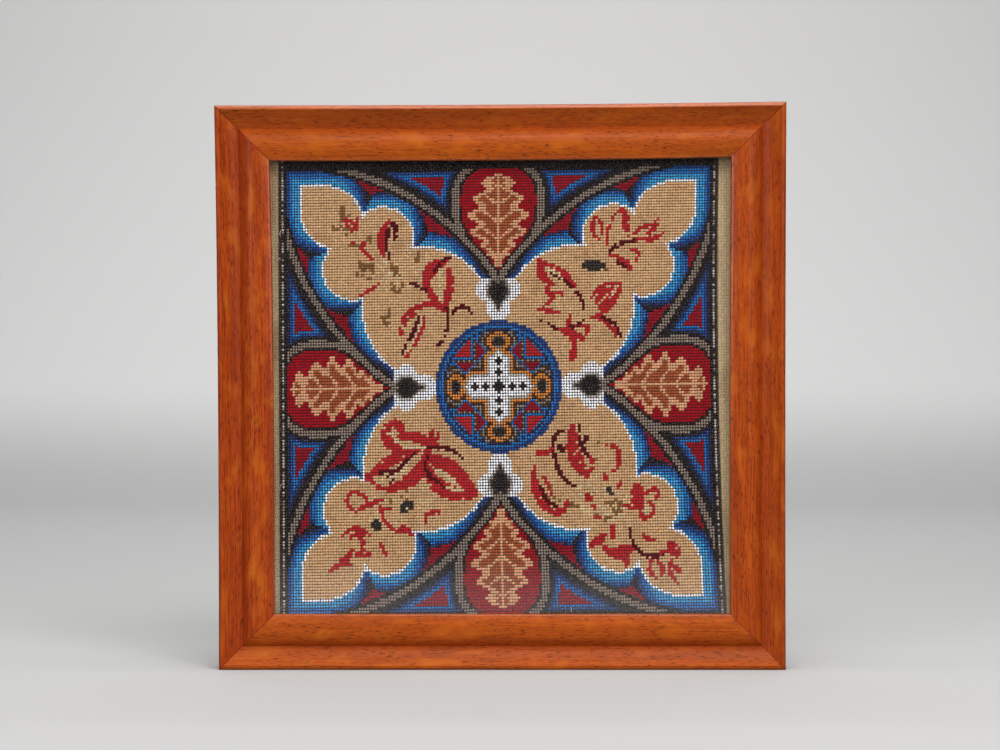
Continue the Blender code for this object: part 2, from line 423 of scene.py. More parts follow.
def make_rail(name, turn):
    """Sweep the section along one side of the frame, between its two mitres."""
    first, last = COURSES[name][:2]
    length = np.linalg.norm(CORNERS[last] - CORNERS[first])
    joint = MITRE_GAP / 2 * math.sqrt(2) / length
    near = np.array(JOINT_STATIONS) / length + joint
    t = np.concatenate([near[:2], np.linspace(near[2], 1 - near[2], STATIONS - 4), 1 - near[1::-1]])
    outer, inner = side(name, 0, t), side(name, MOULD_WIDTH, t)
    across = section[:, 0] / MOULD_WIDTH
    plan = outer[:, None, :] + (inner - outer)[:, None, :] * across[None, :, None]
    forward = np.broadcast_to(section[:, 1], plan.shape[:2]).copy()
    waver = np.sin(t * 17 + turn) + 0.6 * np.sin(t * 41 + 2 * turn)
    shown = np.clip((section[:, 1] - REBATE_DEPTH) / (MOULD_DEPTH - REBATE_DEPTH), 0, 1)
    forward -= HAND_WAVER * (1.6 + waver[:, None]) / 1.6 * shown[None, :]
    points = np.stack([plan[..., 0], MOULD_DEPTH / 2 - forward, plan[..., 1]], axis=-1).reshape(-1, 3)
    knock(points)
    count = len(section)
    quads, ends = sweep_faces(STATIONS, count)
    if name in ("rail_bottom", "rail_right"):
        quads, ends = quads[:, ::-1], ends[:, ::-1]
    rail = mesh_from_arrays("maple_" + name, points, [quads, ends])
    mark_rail(rail, name, t * length, length, turn)
    rail.data.set_sharp_from_angle(angle=math.radians(SHARP_ANGLE))
    return rail


rails = {}
for turn, name in enumerate(COURSES):
    rails[name] = make_rail(name, float(turn + 1))
    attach(rails[name], "root")
    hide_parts(name)
    print(name, triangles(rails[name]), "triangles")

# %% [markdown]
# ## Stained maple
# Maple is pale, close-grained and flecked, with small round eyes where the growth was pinched. An
# orange-brown spirit stain lies darker in the flecks and round the eyes, and the mitres are dark with old
# stain. The valley of the cove and the outer sides are coloured darker as painted shade, and the top and
# bottom rails lighter and warmer as painted light. The grain is read from the map that runs along each
# rail, stretched many times lengthwise, so a noise becomes fibres. A soft satin varnish covers the
# front. Hands have rubbed it glossy along the top of the lip and the edge next to the glass. The back
# stays bare.

# %% Maple finish
STAIN = paint(158, 62, 12)
STAIN_DEEP = paint(122, 40, 7)
STAIN_BRIGHT = paint(172, 88, 18)
FLECK = paint(52, 16, 6)
BARE_MAPLE = paint(160, 122, 84)
BARE_MAPLE_DEEP = paint(128, 92, 60)

maple = Finish("stained_maple")
grain = maple.node("UVMap", {"uv_map": "grain"}, {}, "UV")
fibres = maple.noise(maple.scaled(grain, (22, 760, 1)), 1.0, 6.0, 0.62)
bands = maple.noise(maple.scaled(grain, (6, 120, 1)), 1.0, 3.0)
clouds = maple.noise(maple.scaled(grain, (30, 70, 1)), 1.0, 3.0, 0.6)
fleck_noise = maple.noise(maple.scaled(grain, (150, 1500, 1)), 1.0, 2.0)
flecks = maple.step(fleck_noise, 0.56, 0.65) * maple.step(clouds, 0.62, 0.48)
eye_place = maple.scaled(grain, (62, 84, 1))
eye = maple.node("TexVoronoi", {"feature": "F1"}, {"Vector": eye_place, "Scale": 1.0}, "Distance")
eye = eye + (fleck_noise - 0.5) * 0.22
eye_kind = maple.node("TexVoronoi", {"feature": "F1"}, {"Vector": eye_place, "Scale": 1.0}, "Color")
eye_pick = maple.node("SeparateColor", {}, {"Color": eye_kind}, "Red")
rare = maple.step(eye_pick, 0.58, 0.62)
ring = maple.step(eye, 0.05, 0.10) * (1 - maple.step(eye, 0.11, 0.17)) * rare
glow = (1 - maple.step(eye, 0.1, 0.55)) * rare
joint_stain_and_painted_shade = maple.mark("joint_stain_and_painted_shade")
stained = maple.mix(maple.step(fibres, 0.36, 0.58), STAIN_DEEP, STAIN)
stained = maple.mix(maple.step(clouds, 0.50, 0.70) * 0.6 + glow * 0.35, stained, STAIN_BRIGHT)
stained = maple.mix(maple.step(bands, 0.52, 0.36) * 0.6, stained, STAIN_DEEP)
# Painted light: a lighter, warmer colour on the top and bottom rails.
stained = maple.mix(maple.mark("painted_rail_light"), stained, STAIN_BRIGHT)
# Painted shade in the cove and on the outer sides, with the real dark stain of the mitre joints.
stained = maple.mix(joint_stain_and_painted_shade * 0.45, stained, STAIN_DEEP)
stained = maple.mix(flecks * 0.72, stained, FLECK)
stained = maple.mix(ring * 0.36, stained, FLECK)
raw = maple.mix(maple.step(fibres, 0.3, 0.7), BARE_MAPLE, BARE_MAPLE_DEEP)
bare = maple.step(maple.mark("bare") + (clouds - 0.5) * 0.5, 0.35, 0.65)
maple.surface(
    Base_Color=maple.mix(bare, stained, raw),
    Roughness=0.42 + fibres * 0.14 + bare * 0.25,
    Specular_IOR_Level=0.08,
    Coat_Weight=0.04 - bare * 0.04 + maple.mark("rubbed") * 0.6,
    Coat_Roughness=0.2,
    Normal=maple.relief(fibres * 0.4 - flecks * 0.5 - ring * 0.5, 0.25 * MM, 0.5),
)
for rail in rails.values():
    rail.data.materials.append(maple.material)

# %% [markdown]
# ## The grid of the work
# Needlepoint has one stitch for each crossing of the canvas, so the picture is a chart of squares.
# Here are 165 columns and 165 rows. The canvas was pulled out of true when it was mounted. Its right
# edge leans, and the columns share out the width between two edges that aren't quite parallel. It
# was also stretched more towards the foot, so the rows grow a little from top to bottom, and the rows
# climb a little to the right. Stitches that would lie past the rim of the canvas are left out.

# %% Stitch places
HALF_COLUMNS = 82
ROWS_BELOW, ROWS_ABOVE = 80, 84
ROW_PITCH = 2.144 * MM             # at the middle
ROW_GROWTH = 0.13                  # how much more a row takes, for each metre further down
ROW_SLOPE = 0.0145                 # how far the rows rise towards the right
CANVAS_END = 175.2 * MM            # last height for the middle of a stitch, up or down
WORK_HALF_HEIGHT = 175.6 * MM
WORK_LEFT = ((-166.9, -175.6), (-167.5, 0.0), (-168.2, 175.6))       # foot, bend, top
WORK_RIGHT = ((170.2, -175.6), (160.5, 0.0), (164.0, 175.6))
CANVAS_Y = 1.6 * MM                # face of the bare canvas
WORK_Y = 0.4 * MM                  # face of the work

column, row = np.meshgrid(
    np.arange(-HALF_COLUMNS, HALF_COLUMNS + 1),
    np.arange(-ROWS_BELOW, ROWS_ABOVE + 1),
)


def work_edges(z):
    """Left and right edge of the stitches at a height above the middle of the opening."""
    t = (np.asarray(z) / WORK_HALF_HEIGHT + 1) / 2
    return bend(*WORK_LEFT, t)[..., 0] * MM, bend(*WORK_RIGHT, t)[..., 0] * MM


even_z = row * ROW_PITCH
stitch_z = even_z - ROW_GROWTH * even_z ** 2
row_growth = 1 - 2 * ROW_GROWTH * even_z
left_edge, right_edge = work_edges(stitch_z)
column_pitch = (right_edge - left_edge) / (2 * HALF_COLUMNS + 1)
stitch_x = (left_edge + right_edge) / 2 + column * column_pitch
stitch_z = stitch_z + ROW_SLOPE * stitch_x
on_canvas = np.abs(stitch_z) < CANVAS_END
stitch_x = stitch_x + sight_middle[0]
stitch_z = stitch_z + sight_middle[1]
print(f"stitches: {on_canvas.sum()}, {column_pitch.mean() / MM:.2f} by {ROW_PITCH / MM:.2f} mm")

# %% [markdown]
# ## The chart: folding it up
# The design is a four-part one of a traditional kind: a roundel in the middle, a lobed leaf shape in
# each corner, an oak leaf in a drop on each side, and a curved double band between them. It is the
# same in all eight directions, so one wedge of it is drawn: u is the smaller and v the larger of a
# stitch's distances from the two middle lines. Everything is a circle, an arc or a simple curve there.

# %% Folded places and shades
ROW_STRETCH = 1.02                 # rows count for a little more than columns
across = np.abs(column).astype(float)
upward = np.abs(row) * ROW_STRETCH
u, v = np.minimum(across, upward), np.maximum(across, upward)

SHADES = {
    "beige wool": paint(201, 163, 121),
    "red wool": paint(150, 14, 28),
    "bright red wool": paint(176, 38, 42),
    "maroon wool": paint(86, 12, 20),
    "brown wool": paint(156, 82, 50),
    "tan wool": paint(208, 158, 120),
    "olive wool": paint(132, 94, 56),
    "pale wool": paint(206, 184, 144),
    "crimson wool": paint(142, 20, 36),
    "turquoise bead": paint(54, 160, 214),
    "sky bead": paint(10, 114, 190),
    "royal bead": paint(2, 66, 140),
    "navy bead": paint(6, 28, 74),
    "black bead": paint(7, 5, 10),
    "smoke bead": paint(46, 38, 36),
    "grey bead": paint(142, 126, 114),
    "white bead": paint(244, 244, 248),
    "gold bead": paint(224, 138, 50),
    "bronze bead": paint(70, 42, 22),
    "silver bead": paint(186, 180, 172),
}
SHADE_NAMES = list(SHADES)
chart = np.full(column.shape, SHADE_NAMES.index("black bead"))


def work(where, shade):
    """Work the stitches of a mask in one shade."""
    chart[where] = SHADE_NAMES.index(shade)


def worked_in(*names):
    """Where the chart has one of these shades."""
    return np.isin(chart, [SHADE_NAMES.index(name) for name in names])


def work_steps(where, distance, steps):
    """Work bands of shades, each up to its distance."""
    low = -math.inf
    for high, shade in steps:
        work(where & (distance >= low) & (distance < high), shade)
        low = high


def circle(x, y, radius):
    """Distance outside a circle in the wedge; below zero is inside."""
    return np.hypot(u - x, v - y) - radius


# %% [markdown]
# ## The chart: corner leaves
# Each corner leaf is three lobes: a large one, a small one and one that ends in the corner. White
# beads edge them, and blue bands lie outside. The bands of a lobe start dark at the notch behind it
# and grow lighter towards the next notch, so the lobes seem to lie over each other like petals.

# %% Corner leaves
BAND_WIDTH = 6.3                   # from the edge of a lobe to the crimson ground
BLUES = (
    (2.5, "turquoise bead"), (3.9, "sky bead"), (4.9, "royal bead"), (5.7, "navy bead"),
    (math.inf, "black bead"),
)
LAP = 1.2                          # how far a lobe's bands lie over those of the one before
LOBES = (                          # distance, start of its bands, their length until light
    (circle(28.5, 24.7, 25.7), (8.0, 41.0), 16),
    (circle(43.2, 54.7, 10.8), (33.4, 50.2), 15),
    (np.where(u >= 65, v - 73.7, circle(65, 59.8, 13.9)), (51.5, 63.1), 13),
)
leaf = np.full(column.shape, math.inf)
depth_of_shade = np.full(column.shape, math.inf)
for distance, (start_u, start_v), reach in LOBES:
    darkness = 4.4 * np.clip(1 - np.hypot(u - start_u, v - start_v) / reach, 0, 1)
    over = (distance < leaf + LAP) & (distance < BAND_WIDTH)
    depth_of_shade = np.where(over, distance - 1 + darkness, depth_of_shade)
    leaf = np.minimum(leaf, distance)
work(leaf >= 0, "crimson wool")
work_steps(leaf < BAND_WIDTH, depth_of_shade, BLUES)
work(leaf < 1, "white bead")
work(leaf < 0, "beige wool")

# %% [markdown]
# ## The chart: bands, drops and border
# A double band of grey beads swings from each trefoil out to the border and closes round the drop.
# The oak leaf in the drop is a spindle with wavy sides, tan at the edge and brown within. The border
# is black, with a silver line down each side that has gone dull in places.

# %% Bands, drops and oak leaves
ARC_X, ARC_Y, ARC_RADIUS = 83.8, -16.9, 100.4
DROP_Y, DROP_HALF_WIDTH, DROP_ABOVE, DROP_BELOW = 68.5, 16.2, 13.8, 20.0
BORDER_AT = 80.4

arc = ARC_RADIUS - np.hypot(u - ARC_X, v - ARC_Y)       # above zero on the leaf's side
drop_height = np.where(v > DROP_Y, DROP_ABOVE, DROP_BELOW)
drop_round = (u / DROP_HALF_WIDTH) ** 2.5 + (np.abs(v - DROP_Y) / drop_height) ** 2.5
drop = np.where(v < 56, arc, (drop_round ** 0.4 - 1) * 15)
beyond = arc < -1.6
spandrel = np.minimum(np.minimum(-arc - 1.6, (drop - 1.0) * 1.3), (BORDER_AT - v) * 1.3)
work_steps(beyond, spandrel, (
    (1.5, "black bead"), (2.4, "navy bead"), (3.3, "royal bead"), (4.8, "sky bead"),
    (math.inf, "crimson wool"),
))
work((arc > -3.0) & (arc < 2.3), "black bead")
work(np.abs(arc) < 1.15, "grey bead")
in_drop = (arc < 1.15) & (u < 20) & (v > 38)
work_steps(in_drop & (drop < 1.15), drop, (
    (-2.0, "red wool"), (-1.15, "black bead"), (math.inf, "grey bead"),
))
oak_run = np.clip((v - 43) / 36.5, 0, 1)
oak_width = 9.8 * np.sin(math.pi * oak_run) ** 0.8 + 1.9 * np.cos(2 * math.pi * (v - 62.5) / 6.4)
oak = u - np.where((oak_run > 0) & (oak_run < 1), oak_width, -1)
work(in_drop & (oak < 0) & (drop < -2.3), "tan wool")
work(in_drop & (oak < -2.9) & (drop < -2.3), "brown wool")
vein = np.abs((v - 0.75 * u - 60) % 6.4 - 3.2) > 2.5
work(in_drop & (oak < -2.9) & (vein | (u < 0.5)) & (drop < -2.3), "tan wool")

# %% Border
edge_row = v > BORDER_AT
work(edge_row, "black bead")
work(edge_row & ((column + row) % 5 == 0), "smoke bead")
work(np.abs(column) == 80, "black bead")
silver_line = np.abs(column) == 81
worn = random.random(column.shape)
work(silver_line, "silver bead")
work(silver_line & (worn < 0.6), "grey bead")
work(silver_line & (worn < 0.25), "smoke bead")
work(np.abs(column) == 82, "smoke bead")

# %% [markdown]
# ## The chart: trefoils and roundel
# Four white trefoils with a dark heart stand round the roundel. In the roundel a white cross carries
# small dark crosslets and ends in four bosses. One outline runs round cross and bosses together: gold,
# then bronze, grey and bronze again, then blue.

# %% Trefoils
lobes = np.minimum(circle(0, 28.3, 4.7), circle(4.0, 34.9, 4.4))
work((lobes < 0) & (v < 39.4), "white bead")
taper = np.clip((v - 28.0) / 5.0, 0.35, 1.0)
core = np.hypot(u / (2.8 * taper), (v - 34.6) / np.where(v < 34.6, 5.2, 3.5))
work_steps((core < 1.65) & (lobes < 0.5) & (v > 27.4), core, (
    (0.88, "black bead"), (1.2, "smoke bead"), (1.45, "grey bead"), (1.65, "silver bead"),
))

# %% Roundel
RING, FIELD = 23.7, 20.2           # radius of the blue ring, and of what it holds
radius = np.hypot(u, v)
disc = radius < RING
work_steps(disc, radius, (
    (FIELD, "bronze bead"), (20.9, "navy bead"), (22.1, "sky bead"), (RING, "royal bead"),
))
inside = radius < FIELD
checked = (column + row) % 2 == 0
work(inside & checked, "grey bead")
cross = np.maximum(u - 3.7, (0.6 * u + v - 12.3) * 0.86)
boss = np.hypot(u / 1.3, v - 16.2)
outline = np.minimum(cross - 0.9, boss - 2.2)
work_steps(inside & (outline < 4.6), outline, (
    (0.0, "silver bead"), (1.25, "gold bead"), (2.0, "bronze bead"), (2.8, "grey bead"),
    (3.6, "bronze bead"), (4.6, "sky bead"),
))
work(cross < 0, "white bead")
work_steps(boss < 2.2, boss, (
    (1.0, "black bead"), (1.5, "smoke bead"), (1.8, "bronze bead"), (2.2, "grey bead"),
))

wedge = u - 4.9 - np.abs(v - 12.6)
beside = inside & (v < 18) & (u < 10)
panel = beside & (wedge > 0.1)
work(beside & (wedge > -1.0), "sky bead")
work(panel & (u < 8.5), "crimson wool")
work(panel & (u >= 8.5), "bronze bead")
work(panel & (u >= 8.5) & checked, "grey bead")
work(inside & (u >= 10), "sky bead")
work(inside & (u >= 10.9) & (radius < 19.7), "bright red wool")
work(u + v <= 2.1, "black bead")
for centre in (4.9, 8.9):
    work(u + np.abs(v - centre) < 1.3, "black bead")
print("roundel worked:", int(disc.sum()), "stitches")

# %% [markdown]
# ## The chart: sprays and wear
# On each corner leaf there is a loose spray of red leaves on dark stems, and no two are alike. So
# they are drawn freely, a quarter at a time, as brush strokes: each one runs from its first place to
# its last, bends towards the middle one, and tapers at both ends. Worn wool has dropped a stitch here
# and there. Brown patches show where the wool has darkened, and pale ones where the canvas shows.

# %% Sprays at the upper left
RED, DARK, PALE, BROWN, SHADOW = (
    "bright red wool", "maroon wool", "pale wool", "olive wool", "smoke bead"
)
UPPER_LEFT = (                     # shade, width, then column and row of three places
    (RED, 4.6, -20, 45, -28, 42, -27, 36), (RED, 3.2, -27, 37, -25, 31, -20, 27),
    (RED, 3.2, -18.5, 42, -17.5, 36, -20, 28), (PALE, 0.9, -21.5, 41, -22.5, 36, -22, 31),
    (DARK, 1.2, -18.5, 46, -22, 45, -24, 41), (RED, 1.3, -27, 34.5, -24, 33, -21, 28),
    (DARK, 1.4, -19.5, 28, -17.5, 20, -22.5, 15), (DARK, 1.4, -33, 37.3, -30, 36, -27, 34.6),
    (RED, 2.2, -20.5, 27.5, -28, 32, -35.5, 25), (RED, 2.4, -31, 26, -36, 25.5, -36.5, 19),
    (DARK, 1.5, -30, 25.5, -31, 20, -36, 12.5), (PALE, 1.0, -28.9, 24.5, -30, 18, -34.4, 12.5),
    (RED, 1.5, -27.5, 25, -28.5, 18, -34.5, 11), (DARK, 1.2, -17, 26, -13.5, 31, -10.2, 26.3),
    (RED, 2.8, -41, 59.5, -46, 54, -43, 47), (DARK, 1.8, -39.5, 59, -43.5, 54, -41, 46.5),
    (DARK, 2.2, -38.5, 58, -38, 56, -39, 53.5), (RED, 1.4, -58, 61, -56, 60.5, -54, 58),
    (RED, 1.4, -53.3, 60.5, -53.3, 59, -53.6, 56.5), (RED, 1.2, -57.5, 60, -56, 57, -54.5, 55.5),
    (RED, 1.5, -54.5, 52, -51, 49.5, -47.5, 46), (RED, 1.4, -50.5, 52.5, -50.6, 50, -50, 48),
    (RED, 1.6, -45.3, 37.2, -48, 34.5, -51.5, 33.3), (BROWN, 1.9, -62, 57, -59, 57, -56, 57),
    (BROWN, 2.0, -58.5, 65, -59, 63, -58.5, 60.5), (BROWN, 3.9, -50.5, 43, -49, 43, -47.5, 43),
    (BROWN, 2.2, -48.5, 54.5, -48, 53.5, -48, 52.5), (BROWN, 1.5, -56, 51, -54, 51, -52.5, 51),
    (BROWN, 2.4, -40, 43.5, -39, 42.5, -38.3, 41.5), (BROWN, 2.4, -39.5, 35.5, -38.5, 34.5, -37, 34.5),
    (BROWN, 1.5, -44, 26, -43, 24, -42, 22), (BROWN, 1.5, -41, 27.5, -41.5, 25, -41.3, 23),
    (BROWN, 2.0, -30, 47.5, -30, 46, -30.4, 44.5),
)

# %% Sprays at the upper right
UPPER_RIGHT = (
    (SHADOW, 4.4, 32.8, 42.6, 36, 43.2, 39.5, 42), (BROWN, 1.9, 40.4, 41.2, 41, 41, 41.4, 40.8),
    (RED, 1.7, 36.5, 60, 33.5, 55, 38.2, 52), (RED, 1.4, 37.5, 60, 40, 56, 38.9, 52),
    (RED, 1.5, 41.3, 50, 40, 58, 46, 63), (RED, 3.0, 46.5, 63.5, 48.5, 60, 47.2, 56),
    (RED, 1.9, 48.6, 57, 49, 55, 48.8, 53), (RED, 1.6, 51, 54, 55, 57, 59, 57.5),
    (RED, 1.9, 56, 54, 59, 55, 60.5, 59.5), (RED, 1.8, 54, 52, 58, 50.5, 62, 54),
    (DARK, 1.8, 42, 47, 44, 51, 52, 51.5), (RED, 1.5, 52, 51.5, 56, 52, 60, 53),
    (RED, 1.8, 50, 48, 54.5, 47.5, 52, 44.5), (RED, 1.6, 42, 46.3, 46, 45.8, 49, 42),
    (RED, 2.4, 45.5, 45, 48.5, 44, 49.5, 41), (DARK, 1.5, 45, 43.6, 46.5, 43, 47.8, 41.6),
    (RED, 3.3, 15.3, 45, 15, 38.5, 20.5, 36.3), (RED, 2.6, 16, 44, 24, 42, 29.3, 34.8),
    (DARK, 1.7, 20.5, 39.8, 24, 38.5, 28, 34.8), (PALE, 1.0, 19, 41.5, 22, 40.5, 24, 38.6),
    (RED, 2.3, 18, 35, 19.5, 33, 19.8, 31.3), (RED, 1.4, 20, 33, 22, 34, 24.2, 32.2),
    (RED, 1.5, 17.3, 28.4, 19.5, 29.3, 20.8, 31.6), (RED, 1.9, 15.3, 27, 19, 26.8, 22.7, 25.6),
    (DARK, 1.3, 29.3, 33, 31.5, 31.5, 32.1, 27.4), (DARK, 1.7, 16.3, 23.4, 25, 16, 33.5, 24.4),
    (RED, 1.8, 27, 24.6, 26.5, 22.5, 26.3, 20.8), (RED, 3.4, 23, 20, 28.5, 19.5, 29, 14),
    (RED, 3.0, 28.6, 16, 28.9, 12, 27.4, 9), (RED, 2.3, 26, 19, 30, 18.5, 32.4, 15.6),
    (RED, 1.9, 29, 21, 35.5, 22, 33, 17.8), (RED, 1.6, 35, 31, 39, 37.5, 46.3, 36.2),
    (RED, 1.8, 35.5, 24.3, 44.5, 26, 46.3, 36), (RED, 2.5, 37.3, 29, 38.5, 33.5, 42.5, 34.6),
    (RED, 2.3, 38.5, 26.8, 44, 28.5, 45.3, 34), (RED, 1.5, 38.3, 28, 41, 30, 43, 34.8),
    (RED, 2.9, 37.6, 23.6, 43, 22.5, 44.3, 17.6), (DARK, 1.3, 38.6, 23.8, 46, 22, 45.6, 16.6),
)

# %% Sprays at the lower left
LOWER_LEFT = (
    (RED, 5.0, -42, -13.3, -43, -19, -37.6, -21.6), (RED, 3.4, -41, -12.4, -37, -11.5, -36, -17),
    (PALE, 1.0, -41.3, -16, -39, -16.6, -38.6, -19), (RED, 3.8, -38, -17, -31, -16.2, -22.6, -21.2),
    (RED, 1.8, -25.3, -15.2, -25.2, -17.5, -26, -19.5), (RED, 1.5, -22.6, -15.2, -23, -17.5, -24.4, -20),
    (DARK, 1.6, -30, -21.6, -18.5, -19.5, -14.2, -24.8), (PALE, 1.0, -35.5, -20.8, -31, -20.6, -28, -21),
    (RED, 4.2, -31, -22.3, -42, -24, -49.7, -31.6), (RED, 5.2, -27, -22.6, -28, -31.5, -41, -35.2),
    (RED, 1.8, -50, -30.5, -47, -35, -41, -35.6), (DARK, 1.7, -32, -22.8, -36, -27.5, -41.5, -31),
    (DARK, 1.3, -45, -29.6, -41.5, -28.8, -38, -29.2), (DARK, 1.3, -40, -29.5, -40, -31, -40.6, -32.6),
    (PALE, 1.1, -33.5, -25.5, -38, -32, -46, -32.8), (RED, 6.0, -27, -25.5, -18, -26, -9.8, -37),
    (RED, 5.4, -27.5, -27.5, -24.5, -37.5, -11, -38), (DARK, 1.8, -27, -24.6, -30, -30.5, -21, -34.4),
    (PALE, 1.0, -23.5, -28.8, -19.5, -30.5, -17.5, -33), (PALE, 0.9, -20.5, -34.5, -18, -36, -14, -36.3),
    (RED, 1.7, -54.3, -42.6, -60, -39, -55, -36.3), (RED, 1.7, -56, -36.3, -51.5, -35.6, -49.6, -40),
    (RED, 1.9, -51.3, -42, -47.5, -39.3, -44.3, -39.2), (RED, 2.0, -53.3, -42.4, -51.2, -42, -49, -40),
    (RED, 1.6, -44.6, -41.4, -44.3, -47.5, -39.5, -49.6),
    (RED, 1.5, -44.6, -41.8, -43, -41.5, -41.3, -42.3),
    (RED, 2.5, -39.2, -50.2, -36, -47.5, -32.8, -51.3), (RED, 1.7, -28, -47.3, -29, -42.8, -22.8, -43.5),
    (SHADOW, 3.9, -37, -42, -35, -41.4, -33.4, -40.4), (SHADOW, 3.5, -47.4, -47, -46, -47.5, -45, -48),
    (RED, 1.8, -58.6, -50.6, -54, -46.8, -49.4, -50.6), (RED, 2.5, -56, -51.5, -50.5, -48.6, -52, -55.4),
    (RED, 3.0, -54.3, -58.3, -52, -56.6, -48.8, -57.6),
    (RED, 2.7, -63.8, -62.7, -59, -60.3, -55.3, -56.2), (RED, 1.9, -60, -58.8, -58, -60.6, -55.8, -61.2),
    (RED, 1.6, -44.6, -54.3, -44.2, -56, -42.8, -58.2),
)

# %% Sprays at the lower right
LOWER_RIGHT = (
    (DARK, 1.7, 23.6, -15.8, 18.4, -17.5, 20.4, -25), (DARK, 1.7, 20.4, -24, 21, -31.5, 27.8, -35.3),
    (DARK, 2.4, 22.2, -20.8, 23, -22, 24, -23.8), (RED, 5.6, 27.4, -14.8, 26.5, -26.5, 32.4, -31),
    (DARK, 1.8, 29.8, -14.4, 29, -21.5, 34.7, -26.4), (DARK, 1.8, 33.2, -17.8, 32, -19, 30.8, -20.8),
    (RED, 2.2, 33.8, -25.4, 35.5, -28, 32.6, -31.3), (RED, 2.0, 13.8, -23.4, 16.5, -24.2, 20, -22.2),
    (RED, 3.2, 12.9, -28.6, 11.5, -39.5, 19.5, -44.2), (RED, 2.5, 17, -43, 23.5, -46.3, 24.8, -40.3),
    (DARK, 1.8, 15.3, -34.6, 15.8, -40.4, 21.3, -42.2), (RED, 1.4, 16.2, -31.8, 18.4, -35, 19, -38.3),
    (RED, 1.9, 40.3, -21.3, 46, -20.8, 44, -26.4), (RED, 1.5, 44.2, -25.4, 45.6, -28.4, 42.3, -30.3),
    (RED, 1.9, 38.7, -31.2, 39.2, -32.4, 39.6, -33.4), (RED, 1.6, 45, -33.8, 45, -34.6, 43.8, -35.8),
    (RED, 2.5, 31.8, -38.8, 33, -39, 33.6, -40.2), (RED, 1.6, 33.8, -42, 34.6, -42.6, 35.3, -42),
    (RED, 1.9, 34.8, -45.7, 36, -46.1, 37.2, -46), (RED, 5.6, 51.4, -35.4, 50.6, -39, 52, -43),
    (RED, 2.0, 54, -38.2, 59.5, -34.5, 58.2, -40.4), (RED, 2.2, 52, -42, 51.5, -48, 56.2, -45.4),
    (RED, 1.9, 56.2, -45.4, 58.5, -41.5, 54.8, -40.8), (RED, 1.4, 45.8, -42, 48.5, -42.7, 51, -42),
    (SHADOW, 2.0, 39.6, -35.8, 40.5, -37, 41.6, -37.7), (PALE, 1.8, 54, -42.6, 54.3, -43, 54.4, -43.8),
    (RED, 3.1, 33.3, -55.6, 36, -54, 38.6, -51.8), (RED, 1.9, 41.5, -49.3, 41.5, -51, 41.5, -53.2),
    (RED, 4.2, 38.4, -56.8, 43, -60, 49.2, -55.8), (RED, 3.3, 43, -58.5, 46.3, -59.5, 46.4, -62.4),
    (DARK, 1.7, 47.8, -50.2, 49.5, -60, 56, -59.6), (DARK, 1.6, 55.4, -59.5, 57.5, -60, 60, -58.4),
    (RED, 4.2, 62.2, -55.8, 64, -57, 65, -59.2), (RED, 1.6, 59, -58.6, 61, -58, 63, -57.4),
    (RED, 1.7, 53.3, -51.8, 53.6, -54.6, 57.2, -53.6), (RED, 2.1, 55.6, -60.8, 53.4, -64.4, 57, -66.8),
    (RED, 1.7, 58, -61.4, 60.6, -63, 58.8, -66.3), (RED, 2.1, 63, -60.8, 60.6, -65, 64.7, -68.7),
    (RED, 1.7, 63.8, -62.8, 65, -64, 66.2, -65.2), (BROWN, 1.7, 26, -41.6, 27.3, -41.8, 28.4, -42),
)

# %% Work the sprays
DROPPED = 0.04                     # share of the stitches of a spray that are lost
THINNEST = 0.62                    # half the width of the thinnest line, in stitches
ground = worked_in("beige wool")


def stroke(width, start, middle, end):
    """The stitches under one brush stroke."""
    t = np.linspace(0, 1, 15)
    spine = bend(start, middle, end, t)
    half = np.maximum(width / 2 * (0.5 + 0.5 * np.sin(math.pi * t)), THINNEST)
    away = np.hypot(column[..., None] - spine[:, 0], row[..., None] - spine[:, 1])
    return (away < half).any(axis=-1)


for shade, width, *spots in (*UPPER_LEFT, *UPPER_RIGHT, *LOWER_LEFT, *LOWER_RIGHT):
    kept = random.random(column.shape) > DROPPED
    work(ground & kept & stroke(width, *np.reshape(spots, (3, 2))), shade)

# %% Wear
WORN = (                           # (columns, rows) from the middle, size, share, shade
    ((-35, 44), 9, 0.16, PALE), ((-42, 40), 6, 0.2, PALE), ((-44, 52), 5, 0.12, PALE),
    ((24, 31), 6, 0.16, PALE), ((40, 33), 5, 0.2, PALE), ((-30, -38), 7, 0.1, PALE),
    ((-43, -43), 7, 0.14, PALE), ((33, -38), 8, 0.2, PALE), ((44, -45), 8, 0.16, PALE),
    ((-58, 58), 5, 0.12, BROWN), ((-50, 42), 4, 0.3, BROWN), ((42, -43), 4, 0.42, BROWN),
    ((36, -23), 4, 0.14, BROWN), ((37, -45), 3, 0.3, BROWN), ((-39, 38), 4, 0.14, BROWN),
    ((18, -39), 5, 0.1, BROWN), ((-38, -38), 4, 0.1, BROWN),
)
for (x, y), size, share, shade in WORN:
    nearby = np.hypot(column - x, row - y) < size
    still_ground = ground & worked_in("beige wool", PALE)
    work(still_ground & nearby & (random.random(column.shape) < share), shade)
counts = np.bincount(chart.ravel(), minlength=len(SHADE_NAMES))
print({name: int(count) for name, count in zip(SHADE_NAMES, counts)})

# %% [markdown]
# ## Beads and wool
# A bead is sewn down through its hole and stands off the canvas as a small round button, so a low
# dome is the shape that shows. A wool stitch is a short fat loop that leans to the right and touches
# its neighbours in the row, so wool reads as ribs and beads read as dots. Each template is a few rings
# of points, laid at every place on the chart with a little turn and size of its own.

# %% Stitch shapes
SIDES = 6
BEAD_RINGS = ((1.0, 0.0), (0.88, 0.52), (0.50, 0.88))         # (radius, height), as shares
WOOL_RINGS = ((1.0, 0.0), (0.80, 0.74))
SUNK = 0.25 * MM                   # the foot of each stitch goes a little into the canvas
UNEVEN_DYE = 0.07


